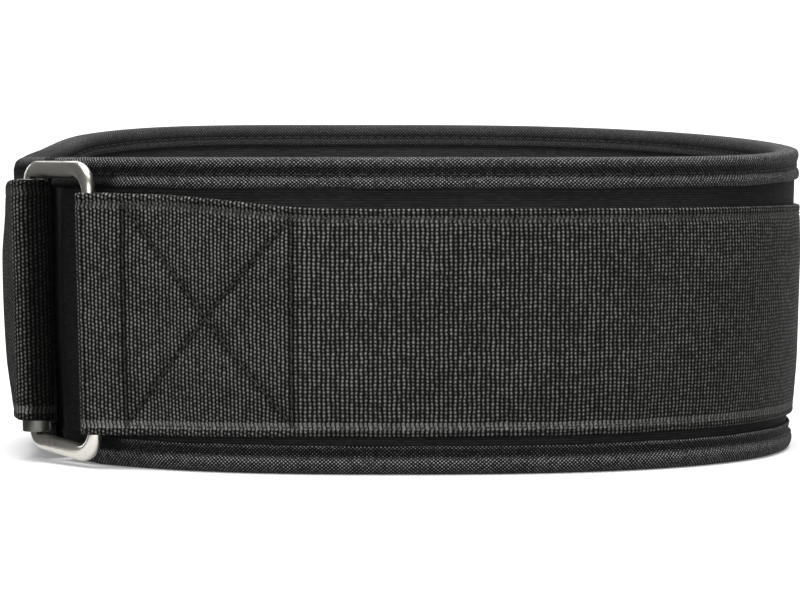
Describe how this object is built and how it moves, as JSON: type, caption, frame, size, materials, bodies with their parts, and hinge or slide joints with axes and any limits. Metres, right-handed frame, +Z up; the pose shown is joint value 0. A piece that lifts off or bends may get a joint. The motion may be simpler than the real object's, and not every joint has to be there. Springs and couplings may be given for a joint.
{
  "type": "weightlifting belt",
  "caption": "Padded black nylon lifting belt fastened into its waist loop, with wide webbing sewn round it and a metal buckle frame with a roller at the front left.",
  "frame": {"origin": "middle of the belt's bounding box in plan, on the surface that its lower rim stands on", "axes": "+Z up along the wall, -Y towards the front of the belt, +X to the right of one who faces the front; the buckle is at -X -Y"},
  "size_m": [0.2814, 0.2246, 0.114],
  "materials": {
    "body_fabric": "matt, fine horizontal ribs",
    "binding_canvas": "coarse plain-woven canvas",
    "webbing": "ribbed heavy nylon webbing",
    "nickel": "satin nickel plate"
  },
  "bodies": {
    "root": {"belt_body": "body_fabric", "top_binding": "binding_canvas", "bottom_binding": "binding_canvas", "support_strap": "webbing", "tail_strap": "webbing", "buckle_frame": "nickel", "buckle_roller": "nickel"}
  },
  "joints": []
}
